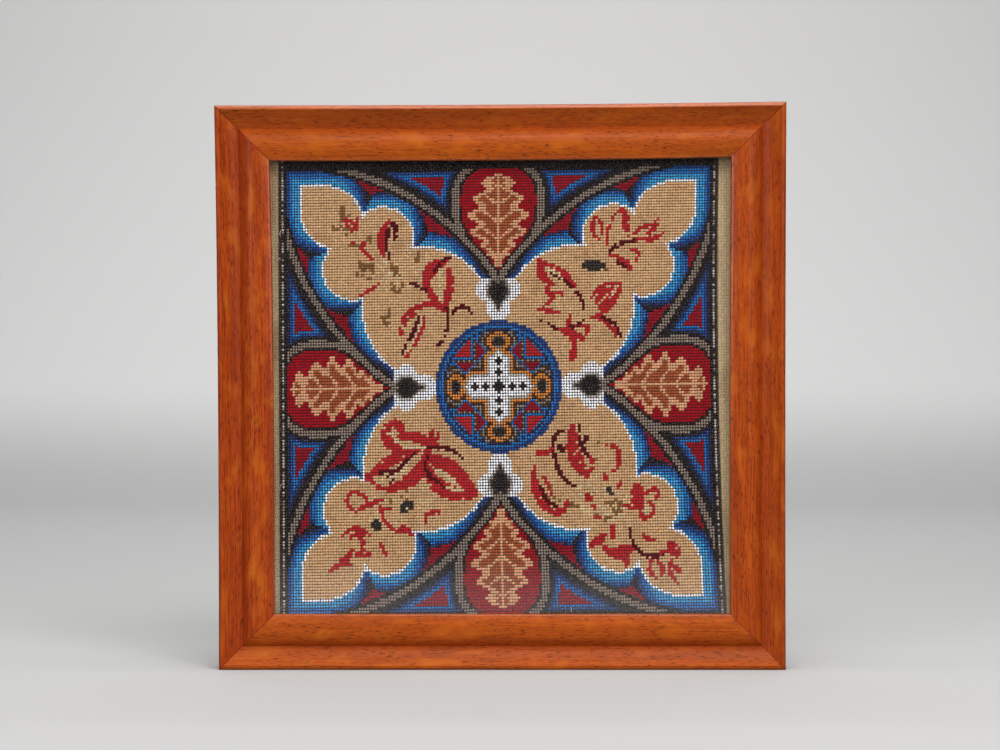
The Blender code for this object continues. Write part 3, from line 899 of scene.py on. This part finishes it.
def dome(rings, squareness):
    """Points and faces of a low dome: rings of six points and one on top."""
    turn = np.linspace(0, 2 * math.pi, SIDES, endpoint=False) + math.pi / 6
    reach = (np.abs(np.cos(turn)) ** squareness + np.abs(np.sin(turn)) ** squareness) ** (-1 / squareness)
    points = [(r * c * np.cos(a), h, r * c * np.sin(a)) for r, h in rings for a, c in zip(turn, reach)]
    points.append((0.0, 1.0, 0.0))
    quads, top = [], []
    for k in range(SIDES):
        after = (k + 1) % SIDES
        for ring in range(len(rings) - 1):
            low = ring * SIDES
            quads.append((low + k, low + after, low + SIDES + after, low + SIDES + k))
        low = (len(rings) - 1) * SIDES
        top.append((low + k, low + after, len(points) - 1))
    return np.array(points), np.array(quads), np.array(top)


def colour_stitches(piece, shade, count):
    """Give each stitch its shade, a little lighter or darker than the next one."""
    colours = np.array(list(SHADES.values()))[shade]
    colours[:, :3] *= 1 + random.normal(0, UNEVEN_DYE, (len(shade), 1))
    layer = piece.data.color_attributes.new("stitch_colour", "FLOAT_COLOR", "POINT")
    layer.data.foreach_set("color", np.repeat(colours, count, axis=0).ravel().astype(np.float32))
    mark_points(piece, "tone", np.repeat(random.random(len(shade)), count))


def lay(name, where, shape, half_width, half_height, height, lean, looseness):
    """One mesh of the stitches of a mask, each with its shade."""
    points, quads, top = shape
    x, z, shade = stitch_x[where], stitch_z[where], chart[where]
    total = len(x)
    wide = half_width * (1 + looseness * random.normal(0, 0.5, total))
    tall = half_height * row_growth[where] * (1 + looseness * random.normal(0, 0.5, total))
    rise = height * (1 - np.abs(random.normal(0, looseness, total)))
    turn = random.normal(0, looseness * 1.2, total)
    x = x + random.normal(0, 0.05 * MM, total)
    z = z + random.normal(0, 0.04 * MM, total)
    px = points[None, :, 0] * wide[:, None]
    pz = points[None, :, 2] * tall[:, None] + px * lean
    spun_x = px * np.cos(turn)[:, None] - pz * np.sin(turn)[:, None]
    spun_z = px * np.sin(turn)[:, None] + pz * np.cos(turn)[:, None]
    depth = CANVAS_Y + SUNK - points[None, :, 1] * (rise[:, None] + SUNK)
    solid = np.stack([x[:, None] + spun_x, depth, z[:, None] + spun_z], axis=-1).reshape(-1, 3)
    solid[:, 1] = np.maximum(solid[:, 1], WORK_Y)
    first = (np.arange(total) * len(points))[:, None, None]
    piece = mesh_from_arrays(name, solid, [
        (quads[None] + first).reshape(-1, 4)[:, ::-1], (top[None] + first).reshape(-1, 3)[:, ::-1],
    ])
    colour_stitches(piece, shade, len(points))
    map_front(piece, solid)
    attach(piece, "root")
    print(name, total, "stitches,", triangles(piece), "triangles")
    return piece


# %% Work the canvas
FAMILIES = (
    ("beads_pale_blue", ("turquoise bead", "sky bead")),
    ("beads_deep_blue", ("royal bead", "navy bead")),
    ("beads_black", ("black bead", "smoke bead")),
    ("beads_light", ("grey bead", "white bead", "gold bead", "bronze bead", "silver bead")),
    ("wool_beige", ("beige wool", "pale wool", "olive wool")),
    ("wool_red_and_brown", (
        "red wool", "bright red wool", "maroon wool", "brown wool", "tan wool", "crimson wool",
    )),
)
# half width, half height, height, lean, looseness
BEAD_SIZES = (1.00 * MM, 1.05 * MM, 1.18 * MM, 0.0, 0.05)
WOOL_SIZES = (1.26 * MM, 1.17 * MM, 0.92 * MM, 0.12, 0.06)
bead_shape, wool_shape = dome(BEAD_RINGS, 2.0), dome(WOOL_RINGS, 2.6)
stitches = []
for name, shades in FAMILIES:
    where = on_canvas & worked_in(*shades)
    if name.startswith("beads"):
        piece = lay(name, where, bead_shape, *BEAD_SIZES)
    else:
        piece = lay(name, where, wool_shape, *WOOL_SIZES)
    stitches.append(piece)

# %% [markdown]
# ## Glass beads and wool as finishes
# Both finishes read each stitch's own shade. A bead is glass: smooth, so a lamp makes a sharp light on
# it, and its shade is mottled a little darker at random. Wool is matt, with the fine twist of the yarn
# across it and a soft sheen from its hairs.

# %% Bead and wool finishes
bead_glass = Finish("glass_beads")
shade = bead_glass.mark("stitch_colour", "Color")
place = bead_glass.place()
cloud = bead_glass.noise(place, 900.0, 2.0)
bead_glass.surface(
    Base_Color=bead_glass.mix(bead_glass.step(cloud, 0.45, 0.8) * 0.16, shade, paint(30, 26, 30)),
    Roughness=0.22 + bead_glass.mark("tone") * 0.16,
    Specular_IOR_Level=0.5,
    Coat_Weight=0.1,
    Coat_Roughness=0.06,
)
yarn = Finish("needlework_wool")
shade = yarn.mark("stitch_colour", "Color")
place = yarn.place()
twist = yarn.noise(yarn.scaled(place, (900, 900, 3600)), 1.0, 3.0, 0.6)
soil = yarn.noise(place, 55.0, 3.0)
warm = yarn.mix(yarn.step(soil, 0.46, 0.74) * 0.22, shade, paint(176, 118, 74), "MULTIPLY")
yarn.surface(
    Base_Color=yarn.mix(yarn.step(twist, 0.62, 0.3) * 0.22, warm, paint(120, 84, 58), "MULTIPLY"),
    Roughness=0.86 + twist * 0.1,
    Specular_IOR_Level=0.12,
    Sheen_Weight=0.04,
    Sheen_Roughness=0.5,
    Normal=yarn.relief(twist, 0.12 * MM, 0.7),
)
for piece in stitches:
    piece.data.materials.append(
        bead_glass.material if piece.name.startswith("beads") else yarn.material
    )

# %% [markdown]
# ## The canvas
# Under the work lies the cotton canvas itself, one flat cloth that reaches under the rails on all
# four sides. It shows bare in a strip down each side of the work, so its threads are formed there and
# left plain under the stitches. Under the stitches it is coloured dark brown, as painted shade for the
# gaps between them, and in the bare strips the low places of the weave are darkened as painted shade.
# The cloth is a thin closed slab: a fine front, a plain back.

# %% Canvas
CANVAS_THICK = 1.0 * MM
CANVAS_REACH = MOULD_WIDTH - REBATE_WIDTH + 2 * GAP
STRIP = 0.075                      # share of the width that has fine columns, at each side
THREAD_HEIGHT = 0.30 * MM
ROWS = 620


def canvas_grid():
    """Points of the canvas between its four curved edges, fine in the two side strips."""
    fine = np.linspace(0, STRIP, 52)
    t = np.concatenate([fine, np.linspace(STRIP, 1 - STRIP, 30)[1:-1], 1 - fine[::-1]])
    s = np.linspace(0, 1, ROWS)
    left, right = side("rail_left", CANVAS_REACH, s), side("rail_right", CANVAS_REACH, s)
    foot, top = side("rail_bottom", CANVAS_REACH, t), side("rail_top", CANVAS_REACH, t)
    s, t = s[:, None, None], t[None, :, None]
    ruled = left[:, None] * (1 - t) + right[:, None] * t + foot[None] * (1 - s) + top[None] * s
    near = foot[0] * (1 - t) + foot[-1] * t
    far = top[0] * (1 - t) + top[-1] * t
    return ruled - near * (1 - s) - far * s


plane = canvas_grid()
grid_rows, grid_columns = plane.shape[:2]
plane_x, plane_z = plane[..., 0], plane[..., 1]
edge_low, edge_high = work_edges(plane_z - sight_middle[1])
outside = np.maximum(edge_low - plane_x + sight_middle[0], plane_x - sight_middle[0] - edge_high)
bare_canvas = np.clip(outside / (1.0 * MM) + 0.5, 0, 1)
count_x = (plane_x - stitch_x.mean()) / column_pitch.mean()
count_z = (plane_z - sight_middle[1]) / ROW_PITCH
over = np.where((np.floor(count_x) + np.floor(count_z)) % 2 == 0, 1.0, 0.45)
warp = np.abs(np.sin(math.pi * count_x)) * over
weft = np.abs(np.sin(math.pi * count_z)) * (1.45 - over)
thread = np.maximum(warp, weft) * THREAD_HEIGHT * bare_canvas
front = np.stack([plane_x, CANVAS_Y - thread + THREAD_HEIGHT * bare_canvas, plane_z], axis=-1)
grid = np.arange(grid_rows * grid_columns).reshape(grid_rows, grid_columns)
quads = np.stack([grid[:-1, :-1], grid[:-1, 1:], grid[1:, 1:], grid[1:, :-1]], axis=-1).reshape(-1, 4)
rim = np.concatenate([grid[0, :-1], grid[:-1, -1], grid[-1, :0:-1], grid[:0:-1, 0]])
front = front.reshape(-1, 3)
back = front[rim] * (1, 0, 1) + (0, CANVAS_Y + CANVAS_THICK, 0)
behind = len(front) + np.arange(len(rim))
walls = np.stack([rim, behind, np.roll(behind, -1), np.roll(rim, -1)], axis=-1)
canvas = mesh_from_arrays(
    "canvas", np.concatenate([front, back]), [quads, walls, [behind[::-1]]], smooth=False
)
pad = np.zeros(len(rim))
mark_points(canvas, "bare_canvas", np.concatenate([bare_canvas.ravel(), pad + 1]))
mark_points(canvas, "thread", np.concatenate([thread.ravel() / THREAD_HEIGHT, pad + 1]))
whole = np.concatenate([front, back])
map_front(canvas, whole)
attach(canvas, "root")
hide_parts("needlepoint_canvas")
print("canvas", triangles(canvas), "triangles")

# %% Canvas finish
cotton = Finish("canvas_cotton")
place = cotton.place()
fuzz = cotton.noise(place, 1400.0, 3.0, 0.6)
stains_and_shade = cotton.noise(cotton.scaled(place, (60, 60, 14)), 1.0, 3.0)
strip = cotton.mix(cotton.step(fuzz, 0.3, 0.7), paint(158, 136, 102), paint(204, 182, 142))
# Darker patches on the bare strips: partly stains, and partly painted shade.
strip = cotton.mix(cotton.step(stains_and_shade, 0.46, 0.64) * 0.5, strip, paint(128, 100, 70))
# Painted shade: the low places between the threads are darkened.
strip = cotton.mix(cotton.step(cotton.mark("thread"), 0.75, 0.25) * 0.6, strip, paint(84, 66, 46))
cotton.surface(
    # Where the work covers the canvas it is painted dark brown: painted shade for the gaps between
    # stitches.
    Base_Color=cotton.mix(cotton.mark("bare_canvas"), paint(46, 34, 28), strip),
    Roughness=0.93,
    Normal=cotton.relief(fuzz, 0.15 * MM, 0.8),
)
canvas.data.materials.append(cotton.material)

# %% [markdown]
# ## Loose ends
# At the edges of the work a few threads have come away. Each is a thin tube along a bent line, just
# clear of the canvas.

# %% Loose threads
LOOSE = (                          # three (x, z) places in mm from the middle of the opening
    ((-165.8, 118.0), (-167.6, 116.0), (-166.4, 112.5)),
    ((-166.0, 96.0), (-168.4, 97.5), (-168.9, 93.2)),
    ((-165.5, -74.0), (-168.0, -76.2), (-166.8, -79.0)),
    ((163.5, -150.0), (165.8, -151.5), (166.4, -156.0)),
    ((52.4, -166.2), (53.1, -168.4), (52.6, -170.6)),
)
THREAD_RADIUS = 0.22 * MM
TUBE_SIDES, TUBE_STEPS = 6, 14


def make_tube(stops):
    """Points, quads and caps of a thread along a bent line that lifts a little in its middle."""
    t = np.linspace(0, 1, TUBE_STEPS)
    path = bend(*[(x * MM, z * MM) for x, z in stops], t) + sight_middle
    lift = WORK_Y + 0.35 * MM - 0.1 * MM * np.sin(math.pi * t)
    turn = np.linspace(0, 2 * math.pi, TUBE_SIDES, endpoint=False)
    along = np.gradient(path, axis=0)
    along /= np.linalg.norm(along, axis=1, keepdims=True)
    sideways = np.stack([-along[:, 1], along[:, 0]], axis=1)
    taper = THREAD_RADIUS * (0.35 + 0.65 * np.sin(math.pi * np.clip(t, 0.08, 0.92)))
    ring = path[:, None] + sideways[:, None] * (np.cos(turn)[None] * taper[:, None])[..., None]
    depth = lift[:, None] + np.sin(turn)[None] * taper[:, None]
    points = np.stack([ring[..., 0], depth, ring[..., 1]], axis=-1).reshape(-1, 3)
    return points, *sweep_faces(TUBE_STEPS, TUBE_SIDES)


tubes = [make_tube(stops) for stops in LOOSE]
starts = np.arange(len(tubes)) * TUBE_STEPS * TUBE_SIDES
threads = mesh_from_arrays(
    "loose_threads",
    np.concatenate([points for points, _, _ in tubes]),
    [
        np.concatenate([quads + start for (_, quads, _), start in zip(tubes, starts)]),
        np.concatenate([caps + start for (_, _, caps), start in zip(tubes, starts)]),
    ],
)
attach(threads, "root")
thread_finish = Finish("linen_thread")
place = thread_finish.place()
ply = thread_finish.noise(place, 2600.0, 2.0)
thread_finish.surface(
    Base_Color=thread_finish.mix(ply, paint(176, 164, 142), paint(226, 220, 206)),
    Roughness=0.85,
    Normal=thread_finish.relief(ply, 0.05 * MM, 0.6),
)
threads.data.materials.append(thread_finish.material)

# %% [markdown]
# ## Glass and board
# The pane and the board are plain plates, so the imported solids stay, and get their finishes. Picture
# glass is nearly invisible: it lets the light straight through, and gives back a few hundredths of
# what stands before it. Only its front is made to reflect, so that light can't be caught inside. The
# board is brown pressed fibre, speckled and dull.

# %% Glass finish
pane = Finish("picture_glass")
place = pane.place()
smear = pane.noise(place, 14.0, 3.0)
facing = 1 - pane.node("NewGeometry", {}, {}, "Backfacing")
gloss = pane.node("Fresnel", {}, {"IOR": 1.5}, "Fac") * facing * (1.55 + smear * 0.5)
clear = pane.node("BsdfTransparent", {}, {"Color": paint(255, 255, 255)}, "BSDF")
shine = pane.node("BsdfAnisotropic", {}, {"Roughness": 0.03, "Color": paint(255, 255, 255)}, "BSDF")
pane.show(pane.node("MixShader", {}, {"Fac": gloss, "Shader": clear, "Shader_001": shine}, "Shader"))

# %% Board finish
board = Finish("fibre_board")
place = board.place()
fibre = board.noise(board.scaled(place, (420, 420, 180)), 1.0, 6.0, 0.65)
blotch = board.noise(place, 16.0, 3.0)
brown = board.mix(board.step(fibre, 0.3, 0.7), paint(118, 88, 60), paint(166, 132, 96))
board.surface(
    Base_Color=board.mix(board.step(blotch, 0.45, 0.7) * 0.4, brown, paint(96, 68, 44)),
    Roughness=0.88 + fibre * 0.08,
    Normal=board.relief(fibre, 0.2 * MM, 0.6),
)


def refinish(name, finish):
    """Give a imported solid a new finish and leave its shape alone."""
    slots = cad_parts[name].material_slots
    for entry in slots:
        entry.material = finish.material
    print(name, "finished,", len(slots), "slot")


refinish("glass_pane", pane)
refinish("backing_board", board)

# %% [markdown]
# ## A plain studio
# The panel stands on a pale floor that sweeps up behind it. The flat floor is painted a darker grey
# than the sweep, as painted shade. The floor fades out a little way in front, so the glass mirrors it in
# its lowest part only, as in the photograph, and mirrors a dark room above.

# %% Floor
FLOOR_FRONT, FLOOR_BACK, SWEEP, FLOOR_SIDE, WALL_TOP = -1.1, 3.0, 1.1, 3.2, 2.4


def make_floor():
    turn = np.radians(np.linspace(0, 90, 15))
    curve_y = FLOOR_BACK - SWEEP + SWEEP * np.sin(turn)
    curve_z = SWEEP - SWEEP * np.cos(turn)
    y = np.concatenate([[FLOOR_FRONT], curve_y, [FLOOR_BACK]])
    z = np.concatenate([[0.0], curve_z, [WALL_TOP]])
    count = len(y)
    left = np.stack([np.full(count, -FLOOR_SIDE), y, z], axis=1)
    right = left * (-1, 1, 1)
    k = np.arange(count - 1)
    floor = mesh_from_arrays(
        "floor", np.concatenate([left, right]), [np.stack([k, k + count, k + count + 1, k + 1], axis=1)]
    )
    return floor


paper = Finish("pale_paper")
place = paper.place()
tooth = paper.noise(place, 300.0, 2.0)
ahead = paper.node("SeparateXYZ", {}, {"Vector": place}, "Y")
lift = paper.node("SeparateXYZ", {}, {"Vector": place}, "Z")
# Painted shade: the same paper is a darker grey low down than on the sweep and wall.
shaded_floor_paper = paper.mix(tooth, paint(171, 171, 170), paint(175, 175, 174))
far_paper = paper.mix(tooth, paint(207, 206, 205), paint(211, 210, 209))
paper.surface(
    Base_Color=paper.mix(paper.step(lift, 0.0, 0.22), shaded_floor_paper, far_paper),
    Roughness=0.9,
    Alpha=paper.step(ahead, FLOOR_FRONT, -0.25),
)
make_floor().data.materials.append(paper.material)

# %% Lights
def add_light(name, place, aim, size, power, colour):
    lamp = bpy.data.lights.new(name, "AREA")
    lamp.shape = "RECTANGLE"
    lamp.size, lamp.size_y = size
    lamp.energy = power
    lamp.color = colour
    holder = bpy.data.objects.new(name, lamp)
    holder.location = place
    away = np.array(place) - np.array(aim)
    flat = math.hypot(away[0], away[1])
    holder.rotation_euler = (math.atan2(flat, away[2]), 0, math.atan2(away[0], -away[1]))
    bpy.context.scene.collection.objects.link(holder)


PANEL_MIDDLE = (0.0, 0.0, 0.21)
add_light("key", (0.25, -1.15, 1.7), PANEL_MIDDLE, (1.2, 0.8), 26, (1.0, 0.98, 0.96))
add_light("fill_left", (-1.15, -1.6, 0.75), PANEL_MIDDLE, (0.9, 1.0), 17, (0.97, 0.98, 1.0))
add_light("fill_right", (1.2, -1.6, 0.75), PANEL_MIDDLE, (0.9, 1.0), 15, (1.0, 0.99, 0.97))
add_light("top", (0.0, -0.1, 1.7), (0.0, 0.0, 0.4), (1.0, 0.3), 9, (1.0, 0.99, 0.98))
add_light("wall", (0.0, 1.0, 2.3), (0.0, 2.8, 0.8), (2.4, 0.6), 36, (1.0, 1.0, 1.0))

# %% World
world = bpy.data.worlds.new("room")
bpy.context.scene.world = world
world.use_nodes = True
room = Finish("room_light", world.node_tree)
direction = room.node("TexCoord", {}, {}, "Generated")
height = room.node("SeparateXYZ", {}, {"Vector": direction}, "Z")
seen = room.node("LightPath", {}, {}, "Is Camera Ray")
sky = room.mix(room.step(height, 0.12, 0.6), (0.010, 0.010, 0.011, 1), (0.46, 0.47, 0.485, 1))
room_colour = room.mix(seen, sky, paint(208, 207, 206))
backdrop = room.node("Background", {}, {"Color": room_colour, "Strength": 1.0}, "Background")
room.node("OutputWorld", {}, {"Surface": backdrop})
